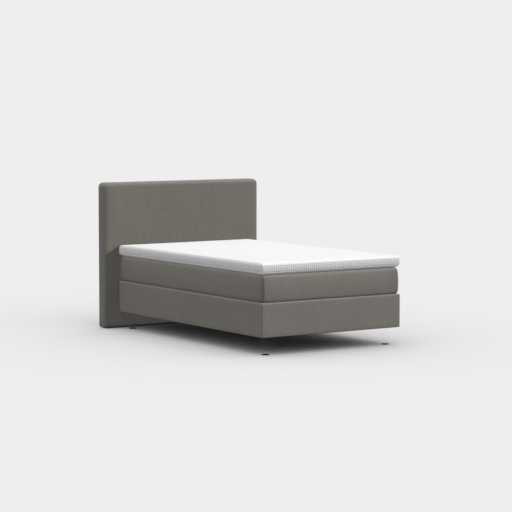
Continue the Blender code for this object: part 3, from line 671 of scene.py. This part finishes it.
def puffed(piece, cap, free):
    """Blows a piece up as cloth and keeps the result, each point moved by at most its share of a cap.

    The points where free is 0, such as seams and flats, are pinned. Without the simulation the piece keeps
    its lofted form.
    """
    start = points_of(piece)
    pins = piece.vertex_groups.new(name="pins")
    for index in np.flatnonzero(free <= 0.0):
        pins.add([int(index)], 1.0, "REPLACE")
    cloth = piece.modifiers.new("puff", "CLOTH")
    settings = cloth.settings
    settings.quality = 4
    settings.use_pressure = True
    settings.uniform_pressure_force = PUFF_PRESSURE
    settings.tension_stiffness = 25.0
    settings.compression_stiffness = 8.0
    settings.bending_stiffness = 2.0
    settings.effector_weights.gravity = 0.0
    settings.vertex_group_mass = "pins"
    cloth.point_cache.frame_end = PUFF_FRAMES
    scene = bpy.context.scene
    for frame_number in range(1, PUFF_FRAMES + 1):
        scene.frame_set(frame_number)
    shift = points_of(piece.evaluated_get(bpy.context.evaluated_depsgraph_get())) - start
    piece.modifiers.remove(cloth)
    piece.vertex_groups.remove(pins)
    scene.frame_set(1)
    length = np.linalg.norm(shift, axis=1, keepdims=True)
    limit = cap * np.clip(free, 0.0, 1.0)[:, None]
    move_points(piece, start + shift * np.minimum(1.0, limit / np.maximum(length, 1e-9)))


def puckered(piece, seams):
    """Gathers the cloth a little where it's sewn: uneven shallow folds that run out from each seam."""
    points, normals = points_of(piece), vertex_values(piece, "normal")
    around = points[:, 0] + points[:, 1]
    folds = sum(np.sin(around * math.tau / pitch + turn) for pitch, turn in PUCKER_WAVES)
    near = sum(np.exp(-np.abs(points[:, 2] - seam) / PUCKER_RUN) for seam in seams)
    upright = 1.0 - np.abs(normals[:, 2])
    move_points(piece, points + normals * (PUCKER / 2 * folds * near * upright)[:, None])


def mark_painted_shade(piece, plan, reach):
    """Marks where painted shade darkens a piece's cloth: towards its four upright corners."""
    depth = np.maximum(*from_sides(points_of(piece), plan))
    values = np.exp(-np.clip(depth, 0.0, None) / reach)
    layer = piece.data.attributes.new("painted_shade", "FLOAT", "POINT")
    layer.data.foreach_set("value", values.astype(np.float32))


# The frame's measures

def node_box(*names):
    boxes = [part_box(name) for name in names]
    low = np.min([np.array(lower) for lower, upper in boxes], axis=0)
    high = np.max([np.array(upper) for lower, upper in boxes], axis=0)
    return low, high


def plan_of(low, high, near_corner, far_corner):
    middle, half = (low + high) / 2, (high - low) / 2
    return Plan(middle[0], middle[1], half[0], half[1], near_corner, far_corner)


def dress(piece, material, body):
    piece.data.materials.clear()
    piece.data.materials.append(material)
    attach(piece, body)
    return piece


# Box

def box_upholstery(material):
    low, high = node_box("box_cover")
    plan = plan_of(low, high, BOX_CORNER, BOX_CORNER)
    rolls = (low[2], high[2], BOX_BOTTOM_ROLL, BOX_TOP_ROLL)
    outer = [(HEM, low[2])] + rolled(*rolls, 0.0, 4, COVER_STEP)
    inner = [(HEM, low[2] + CLOTH)] + rolled(*rolls, CLOTH, 2, HIDDEN_STEP)
    profile = inner[::-1] + outer
    panels = (0, len(profile) - BOX_TOP_RINGS)
    piece = shell("box_upholstery", plan, profile, counts_for(plan, COVER_STEP, 4), panels)
    dress(piece, material, "bed_base")
    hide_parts("box_cover", "box_foam_pad", "box_insulator_felt", "box_pocket_core")
    return piece


# Headboard

def stand_up(piece, back_y):
    """Stands up a piece built on its back: its Y is the height and its Z the depth."""
    points = points_of(piece)
    move_points(piece, np.column_stack((points[:, 0], back_y - points[:, 2], points[:, 1])))


def upright_plan(low, high, foot_corner):
    """The plan of a piece of the headboard, seen from its front."""
    flat = ((low + high) / 2)[[0, 2]]
    half = ((high - low) / 2)[[0, 2]]
    return Plan(*flat, *half, foot_corner, HEADBOARD_TOP_CORNER)


def headboard_upholstery(material):
    low, high = node_box("headboard_cover")
    plan = upright_plan(low, high, HEADBOARD_FOOT_CORNER)
    thick = high[1] - low[1]
    rolls = (0.0, thick - HEADBOARD_CROWN, HEADBOARD_BACK_ROLL, HEADBOARD_FRONT_ROLL)
    outer = [(HEM, 0.0)] + rolled(*rolls, 0.0, 8, COVER_STEP)
    outer += crowned(outer[-1], HEADBOARD_CROWN_RUN, HEADBOARD_CROWN, 4)
    inner = [(HEM, CLOTH)] + rolled(*rolls, CLOTH, 3, HIDDEN_STEP)
    profile = inner[::-1] + outer
    panels = (0, len(profile) - HEADBOARD_FRONT_RINGS)
    piece = shell("headboard_upholstery", plan, profile, counts_for(plan, COVER_STEP, 5), panels)
    free = free_share(piece, plan, thick - 2 * HEADBOARD_CROWN, HEADBOARD_PUFF_MARGIN)
    puffed(piece, HEADBOARD_PUFF, free)
    stand_up(piece, high[1])
    dress(piece, material, "bed_base")
    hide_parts("headboard_cover", "headboard_foam")
    return piece


# Mattress

def soft_half(reach, roll, bulge):
    """From a flat's rim out round a roll and over a bulge, as (inset, distance from the flat)."""
    lean = math.atan(2 * bulge / (reach - roll))
    turns = np.linspace(math.pi / 2, lean, SOFT_STEPS + 1)
    points = [(bulge + roll * (math.cos(lean) - math.cos(t)), roll - roll * math.sin(t)) for t in turns]
    start = points[-1][1]
    for left in np.linspace(1, 0, SOFT_STEPS + 1)[1:]:
        points.append((bulge * left * left, reach - (reach - start) * left))
    return points


def mattress_profile(base, height):
    """The swelling side with a sewn groove near its foot and near its top."""
    lower = soft_half(MATTRESS_WIDEST, MATTRESS_LOWER_ROLL, MATTRESS_LOWER_BULGE)
    upper = soft_half(height - MATTRESS_WIDEST, MATTRESS_UPPER_ROLL, MATTRESS_UPPER_BULGE)
    line = [(inset, base + z) for inset, z in lower]
    line += [(inset, base + height - z) for inset, z in upper[-2::-1]]
    seams = (base + MATTRESS_SEAM, base + height - MATTRESS_SEAM)
    return sewn(line, seams, MATTRESS_SIDE_STEP, CREVICE_SEAM_DEPTH)


def ring_at(profile, height):
    """The number of the profile's ring nearest to a height."""
    return min(range(len(profile)), key=lambda k: abs(profile[k][1] - height))


def mattress_cushion(material):
    low, high = node_box("mattress_bottom_panel", "mattress_border", "mattress_top_panel")
    swell = (MATTRESS_SWELL, MATTRESS_SWELL, 0.0)
    plan = plan_of(low - swell, high + swell, MATTRESS_CORNER, MATTRESS_CORNER)
    profile = mattress_profile(low[2], high[2] - low[2])
    panels = (ring_at(profile, low[2] + MATTRESS_SEAM), ring_at(profile, high[2] - MATTRESS_SEAM))
    piece = shell("mattress_cushion", plan, profile, counts_for(plan, CUSHION_STEP, 5), panels)
    lower, upper = (profile[ring_number][1] for ring_number in panels)
    share = np.clip((points_of(piece)[:, 2] - lower) / (upper - lower), 0.0, 1.0)
    puffed(piece, MATTRESS_PUFF, np.sin(np.pi * share))
    puckered(piece, (lower, upper))
    # Painted shade on the mattress cloth, darker towards its four upright corners
    mark_painted_shade(piece, plan, MATTRESS_PAINTED_SHADE_RUN)
    dress(piece, material, "mattress")
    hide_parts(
        "mattress_top_panel", "mattress_border", "mattress_bottom_panel", "mattress_top_foam",
        "mattress_bottom_foam", "mattress_foam_border", "mattress_pocket_core",
    )
    return piece


# Topper

def topper_rise(x, y):
    """A low crown over the topper's middle."""
    low, high = node_box("topper_top_panel")
    reach_x = (high[0] - low[0]) / 2 - TOPPER_TOP_ROLL - np.abs(x - (low[0] + high[0]) / 2)
    reach_y = (high[1] - low[1]) / 2 - TOPPER_TOP_ROLL - np.abs(y - (low[1] + high[1]) / 2)
    share = np.clip(np.minimum(reach_x, reach_y) / TOPPER_CROWN_RUN, 0.0, 1.0)
    return TOPPER_CROWN * np.sin(np.radians(90) * share)


def topper_inset(height):
    """How far the topper's side is drawn in at a height over its underside."""
    drop = max(TOPPER_BOTTOM_ROLL - height, 0.0)
    return TOPPER_BOTTOM_ROLL - math.sqrt(TOPPER_BOTTOM_ROLL ** 2 - drop ** 2)


def topper_box():
    """The topper's two outermost corners and its plan."""
    low, high = node_box("topper_top_panel", "topper_border", "topper_bottom_panel")
    return low, high, plan_of(low, high, TOPPER_CORNER, TOPPER_CORNER)


def topper_profile(base, top):
    """Underside, the recess behind the border and the shoulder, and the rings where its panels begin."""
    lower, upper = base + TOPPER_LOWER_SEAM, base + TOPPER_UPPER_SEAM
    middle = base + TOPPER_BOTTOM_ROLL
    roll = quarter(TOPPER_BOTTOM_ROLL, middle, TOPPER_BOTTOM_ROLL, -90, 0, 16)
    lip = [point for point in roll if point[1] < lower - LIP_END]
    rim = topper_inset(lower - base)
    profile = lip + [(rim + RECESS_EDGE, lower - RECESS_START), (rim + BORDER_DEPTH + GAP, lower)]
    for share in (0.34, 0.67):
        z = lower + (middle - lower) * share
        profile.append((topper_inset(z - base) + BORDER_DEPTH + GAP, z))
    profile += [(BORDER_DEPTH + GAP, middle), (BORDER_DEPTH + GAP, upper)]
    profile.append((BORDER_BULGE + RECESS_EDGE, upper + RECESS_END))
    profile.append((BORDER_BULGE, upper + SHOULDER_START))
    panels = (len(lip), len(profile) - 2)
    profile += arc(profile[-1], SHOULDER_RADIUS, SHOULDER_LEAN, SHOULDER_END, 2)
    rest = (top - profile[-1][1]) / (1 - math.sin(math.radians(SHOULDER_END)))
    return profile + arc(profile[-1], rest, SHOULDER_END, 90, 7), panels


def topper_cushion(material):
    """Top, underside and the recess behind the border, in one closed form."""
    low, high, plan = topper_box()
    top = high[2] - TOPPER_CROWN
    profile, panels = topper_profile(low[2], top)
    counts = counts_for(plan, CUSHION_STEP, 5)
    piece = shell("topper_cushion", plan, profile, counts, panels, rise=topper_rise)
    puffed(piece, TOPPER_PUFF, free_share(piece, plan, top - TOPPER_CROWN, TOPPER_PUFF_MARGIN))
    dress(piece, material, "topper")
    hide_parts("topper_top_panel", "topper_bottom_panel", "topper_core")
    return piece


def topper_border(material):
    """The mesh band between the topper's two seams."""
    low, high, plan = topper_box()
    base = low[2]
    lower = base + TOPPER_LOWER_SEAM + SEAM_GAP
    upper = base + TOPPER_UPPER_SEAM - GAP
    outer, inner = [], []
    for share in np.linspace(0.03, 0.97, 13):
        z = lower + (upper - lower) * share
        outer.append((topper_inset(z - base) + BORDER_BULGE * max(2 * share - 1, 0.0) ** 2, z))
    for share in (0.0, 0.2, 0.4, 0.7, 1.0):
        z = lower + (upper - lower) * share
        inner.append((topper_inset(z - base) + BORDER_DEPTH, z))
    depth = BORDER_DEPTH * BORDER_RIM
    rims = [(outer[0][0] + depth, lower), (outer[-1][0] + depth, upper)]
    profile = inner[::-1] + [rims[0]] + outer + [rims[1]]
    piece = shell("topper_mesh_border", plan, profile, counts_for(plan, BORDER_STEP, 6), capped=False)
    dress(piece, material, "topper")
    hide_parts("topper_border")
    return piece


def crevice_shade_tape(material):
    """A dark overlocked tape along the topper's foot, where its cover is closed, and also painted shade: a
    dark cord that stands in for the thin shadow line in the crevice between topper and mattress.
    """
    low, high, plan = topper_box()
    rim = topper_inset(TAPE_HEIGHT)
    turns = np.radians(np.arange(8) * 45.0)
    profile = [(rim + TAPE * math.cos(t), low[2] + TAPE_HEIGHT - TAPE * math.sin(t)) for t in turns]
    piece = shell("topper_crevice_shade_tape", plan, profile, counts_for(plan, BORDER_STEP, 5), capped=False)
    return dress(piece, material, "topper")


# Linings and their staples

def slack(places, low, high):
    """How far a stretched lining stands out: a sag in its middle and puckers between the staples."""
    share = np.clip((places - low) / (high - low), 0.0, 1.0)
    stand = LINING_SAG * np.prod(np.sin(np.pi * share), axis=1)
    for axis in (0, 1):
        edge = np.clip(np.minimum(places[:, axis] - low[axis], high[axis] - places[:, axis]), 0.0, None)
        wave = 0.5 - 0.5 * np.cos(math.tau * (places[:, 1 - axis] - low[1 - axis]) / STAPLE_PITCH)
        stand += LINING_RIPPLE * wave * np.exp(-edge / LINING_RUN)
    return stand


def pierced(piece, cutter):
    """Cuts a turned cutter's hole through a lining."""
    cut = piece.modifiers.new("hole", "BOOLEAN")
    cut.operation = "DIFFERENCE"
    cut.solver = "EXACT"
    cut.object = cutter
    shaped = piece.evaluated_get(bpy.context.evaluated_depsgraph_get())
    mesh = bpy.data.meshes.new_from_object(shaped)
    piece.modifiers.remove(cut)
    piece.data = mesh
    bpy.data.objects.remove(cutter)


def box_lining(material):
    low, high = node_box("box_dust_cloth")
    plan = plan_of(low, high, LEAST_CORNER, LEAST_CORNER)
    profile = [(0.0, low[2]), (0.0, high[2])]
    piece = shell("box_lining", plan, profile, counts_for(plan, LINING_STEP, 2))
    for ending in LEG_ENDINGS:
        leg_low, leg_high = node_box(f"leg_{ending}")
        radius = (leg_high[0] - leg_low[0]) / 2 + LEG_GAP
        middle = (leg_low + leg_high) / 2
        cutter = turned("hole", middle[0], middle[1], [(radius, low[2] - CLOTH), (radius, high[2] + CLOTH)])
        pierced(piece, cutter)
    points = points_of(piece)
    points[:, 2] -= slack(points[:, :2], low[:2], high[:2])
    move_points(piece, points)
    dress(piece, material, "bed_base")
    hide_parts("box_dust_cloth")
    return low[:2], high[:2], low[2]


def headboard_lining(material):
    low, high = node_box("headboard_back_cloth")
    plan = upright_plan(low, high, LEAST_CORNER)
    profile = [(0.0, 0.0), (0.0, high[1] - low[1])]
    piece = shell("headboard_lining", plan, profile, counts_for(plan, LINING_STEP, 4))
    points = points_of(piece)
    flat_low, flat_high = low[[0, 2]], high[[0, 2]]
    points[:, 2] -= LINING_RIPPLE * slack(points[:, :2], flat_low, flat_high) / (LINING_SAG + LINING_RIPPLE)
    move_points(piece, points)
    stand_up(piece, high[1])
    dress(piece, material, "bed_base")
    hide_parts("headboard_back_cloth")
    return flat_low, flat_high, high[1]


def staple_places(low, high):
    """Places along a lining's edges and the way each staple lies, in the lining's own two axes."""
    places = []
    for axis in (0, 1):
        length = high[axis] - low[axis] - 2 * STAPLE_END
        count = round(length / STAPLE_PITCH)
        for k in range(count + 1):
            for edge in (low[1 - axis] + STAPLE_INSET, high[1 - axis] - STAPLE_INSET):
                place = [0.0, 0.0]
                place[axis] = low[axis] + STAPLE_END + length * k / count
                place[1 - axis] = edge
                places.append((place, axis))
    return places


def staple(centre, run, out):
    """The rings of one wire staple, its ends bent into the lining."""
    side = np.cross(run, out)
    turns = np.arange(STAPLE_SIDES) * math.tau / STAPLE_SIDES
    rings = []
    for along, rise, up in ((-1.0, -0.4, run), (-0.92, 1.0, out), (0.92, 1.0, out), (1.0, -0.4, -run)):
        middle = centre + run * along * STAPLE_HALF + out * rise * STAPLE_WIRE
        rings.append([middle + STAPLE_WIRE * (math.cos(t) * side + math.sin(t) * up) for t in turns])
    return np.array(rings).reshape(-1, 3)


def staples(name, edges, axes, out, material):
    """Staples along a lining's edges: its two corners and its depth, in these axes and the third."""
    low, high, depth = edges
    verts, faces = [], []
    for place, axis in staple_places(low, high):
        centre = np.full(3, depth)
        centre[axes] = place
        verts.append(staple(centre, np.eye(3)[axes[axis]], np.array(out)))
    for number in range(len(verts) * STAPLE_RINGS):
        if number % STAPLE_RINGS < STAPLE_RINGS - 1:
            faces += ring_faces(number * STAPLE_SIDES, (number + 1) * STAPLE_SIDES, STAPLE_SIDES).tolist()
    piece = make_mesh(name, np.concatenate(verts).tolist(), faces)
    return dress(piece, material, "bed_base")


def linings(cloth, steel):
    staples("box_staples", box_lining(cloth), [0, 1], (0.0, 0.0, -1.0), steel)
    staples("headboard_staples", headboard_lining(cloth), [0, 2], (0.0, 1.0, 0.0), steel)


# Legs and glides

def turned(name, x, y, profile, segments=64):
    """A turned piece through (radius, height) points, closed at both ends."""
    column = np.arange(segments)
    turns = column * math.tau / segments
    circle = np.stack((np.cos(turns), np.sin(turns)), axis=1)
    rings = [np.column_stack((circle * radius + (x, y), np.full(segments, z))) for radius, z in profile]
    last = (len(profile) - 1) * segments
    faces = [column[::-1].tolist(), (last + column).tolist()]
    for low in range(0, last, segments):
        faces += ring_faces(low, low + segments, segments).tolist()
    piece = make_mesh(name, np.concatenate(rings).tolist(), faces)
    piece.data.set_sharp_from_angle(angle=math.radians(SHARP_ANGLE))
    return piece


def rounded_rod(radius, low, high, edge, steps=4):
    """A rod's profile with rounded rims."""
    turns = np.radians(np.linspace(0, 90, steps + 1))
    foot = [(radius - edge + edge * math.sin(t), low + edge - edge * math.cos(t)) for t in turns]
    top = [(radius - edge + edge * math.cos(t), high - edge + edge * math.sin(t)) for t in turns]
    return foot + top


def rod(kind, ending, edge, material):
    """A leg or a glide, turned again with rounded rims."""
    node = f"{kind}_{ending}"
    low, high = node_box(node)
    middle = (low + high) / 2
    profile = rounded_rod((high[0] - low[0]) / 2, low[2], high[2], edge)
    piece = turned(f"{kind}_turned_{ending}", middle[0], middle[1], profile)
    dress(piece, material, "bed_base")
    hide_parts(node)


def legs(acrylic, plastic):
    for ending in LEG_ENDINGS:
        rod("leg", ending, LEG_EDGE, acrylic)
        rod("glide", ending, GLIDE_EDGE, plastic)


# Carried-over nodes

GRAIN = {
    "x": (
        "head_rail", "foot_rail", "slat_1", "slat_2", "slat_3", "slat_4", "slat_5",
        "headboard_top_rail", "headboard_middle_rail", "headboard_bottom_rail",
    ),
    "y": ("left_side_rail", "right_side_rail", "centre_beam"),
    "z": (
        "headboard_left_stile", "headboard_right_stile",
        *(f"corner_block_{ending}" for ending in LEG_ENDINGS),
    ),
}


def finish_nodes(lining_cloth, steel, plastic):
    finishes = {"headboard_front_board": board()}
    for axis, nodes in GRAIN.items():
        finishes.update(dict.fromkeys(nodes, timber(axis)))
    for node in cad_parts:
        if "bolt" in node or "bracket" in node or "stud" in node:
            finishes[node] = steel
        if node.startswith("headboard_glide"):
            finishes[node] = plastic
        if node in ("box_dust_cloth", "headboard_back_cloth"):
            finishes[node] = lining_cloth
    for node, material in finishes.items():
        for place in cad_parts[node].material_slots:
            place.material = material


# Stage

def sees_background(tree):
    """1 for camera, glossy and transmitted rays, which see the pale background, and 0 for the rest."""
    rays = add_node(tree, "ShaderNodeLightPath").outputs
    seen = calc(tree, "ADD", rays["Is Camera Ray"], rays["Is Glossy Ray"])
    return calc(tree, "ADD", seen, rays["Is Transmission Ray"], clamp=True)


def floor():
    half = FLOOR_SIZE / 2
    corners = [(-half, -half, 0), (half, -half, 0), (half, half, 0), (-half, half, 0)]
    plane = make_mesh("floor", corners, [(0, 1, 2, 3)])
    material = bpy.data.materials.new("floor")
    material.use_nodes = True
    tree = material.node_tree
    tree.nodes.clear()
    seen_colour = grey(BACKGROUND / FLOOR_LIGHT)
    colour = blend_colour(tree, sees_background(tree), grey(FLOOR_BOUNCE / FLOOR_LIGHT), seen_colour)
    matt = add_node(tree, "ShaderNodeBsdfDiffuse", {"Color": colour})
    output = add_node(tree, "ShaderNodeOutputMaterial")
    tree.links.new(matt.outputs[0], output.inputs["Surface"])
    plane.data.materials.append(material)
    return plane


def sky():
    world = bpy.data.worlds.new("sky")
    world.use_nodes = True
    tree = world.node_tree
    colour = blend_colour(tree, sees_background(tree), grey(SKY), grey(BACKGROUND))
    tree.links.new(colour, tree.nodes["Background"].inputs["Color"])
    bpy.context.scene.world = world


def light_group(name, pieces, state):
    """A collection of pieces that a lamp includes or excludes."""
    group = bpy.data.collections.new(name)
    for piece in pieces:
        group.objects.link(piece)
    for entry in group.collection_objects:
        entry.light_linking.link_state = state
    return group


def lamp(name, towards, level, angle, pieces, state, shadow=True):
    """A distant lamp that gives a face square to it this much light, with or without these pieces."""
    light = bpy.data.lights.new(name, "SUN")
    light.energy = level * math.pi
    light.angle = math.radians(angle)
    light.use_shadow = shadow
    thing = bpy.data.objects.new(name, light)
    thing.rotation_euler = Vector(towards).to_track_quat("Z", "Y").to_euler()
    bpy.context.scene.collection.objects.link(thing)
    thing.light_linking.receiver_collection = light_group(f"{name}_receivers", pieces, state)
    return thing


def foot_lamp(headboard):
    """A long low lamp under the bed that lights only the headboard's foot."""
    light = bpy.data.lights.new("foot", "AREA")
    light.shape = "RECTANGLE"
    light.size = FOOT_WIDTH
    light.size_y = FOOT_HEIGHT
    light.energy = FOOT_POWER
    light.use_shadow = False
    thing = bpy.data.objects.new("foot", light)
    thing.location = FOOT_PLACE
    thing.rotation_euler = (math.radians(90), 0.0, 0.0)
    bpy.context.scene.collection.objects.link(thing)
    thing.light_linking.receiver_collection = light_group("foot_receivers", [headboard], "INCLUDE")


def headboard_lights(headboard):
    """The headboard's own lamps, which keep its shaded parts as light as photographed."""
    for name, towards, level, angle, shadow in (
        ("headboard_key", HEADBOARD_KEY_TOWARDS, HEADBOARD_KEY_LEVEL, KEY_ANGLE, True),
        ("headboard_fill", HEADBOARD_FILL_TOWARDS, HEADBOARD_FILL_LEVEL, HEADBOARD_FILL_ANGLE, True),
        ("rim", RIM_TOWARDS, RIM_LEVEL, FILL_ANGLE, True),
        ("front", FRONT_TOWARDS, FRONT_LEVEL, FRONT_ANGLE, False),
    ):
        lamp(name, towards, level, angle, [headboard], "INCLUDE", shadow)
    foot_lamp(headboard)


def lights(floor_plane, headboard, topper):
    """Key from the right and fill from the left on the bed, and a broad overhead light on the floor.

    The fill shines through the topper, which keeps the crevices below it as light as photographed. The one
    from below, without shadows, stands for what the floor throws back.
    """
    others = [floor_plane, headboard]
    lamp("key", KEY_TOWARDS, KEY_LEVEL, KEY_ANGLE, others, "EXCLUDE")
    fill = lamp("fill", FILL_TOWARDS, FILL_LEVEL, FILL_ANGLE, others, "EXCLUDE")
    fill.light_linking.blocker_collection = light_group("fill_blockers", topper, "EXCLUDE")
    lamp("overhead", OVERHEAD_TOWARDS, OVERHEAD_LEVEL, OVERHEAD_ANGLE, [floor_plane], "INCLUDE")
    headboard_lights(headboard)
    lamp("under", UNDER_TOWARDS, UNDER_LEVEL, UNDER_ANGLE, others, "EXCLUDE", shadow=False)


def camera():
    lens = bpy.data.cameras.new("camera")
    lens.lens = CAMERA_LENS
    lens.sensor_width = SENSOR_WIDTH
    thing = bpy.data.objects.new("camera", lens)
    thing.location = CAMERA_PLACE
    thing.rotation_euler = (math.radians(90 + CAMERA_PITCH), 0.0, math.radians(CAMERA_TURN))
    bpy.context.scene.collection.objects.link(thing)
    bpy.context.scene.camera = thing


def main():
    cloth = upholstery()
    plastic = dark_glide()
    lining_cloth = lining()
    steel = zinc_steel()
    box = box_upholstery(cloth)
    headboard = headboard_upholstery(cloth)
    linings(lining_cloth, steel)
    mattress = mattress_cushion(cloth)
    topper = [topper_cushion(topper_knit()), topper_border(topper_mesh())]
    for piece in [mattress] + topper:
        piece.visible_diffuse = False
    legs(clear_acrylic(), plastic)
    # Dark tape in the crevice under the topper: painted shade for the crevice's thin shadow line
    crevice_shade_tape(lining_cloth)
    finish_nodes(lining_cloth, steel, plastic)
    camera()
    sky()
    lights(floor(), headboard, topper)
    bpy.context.scene.view_settings.view_transform = "Standard"


main()
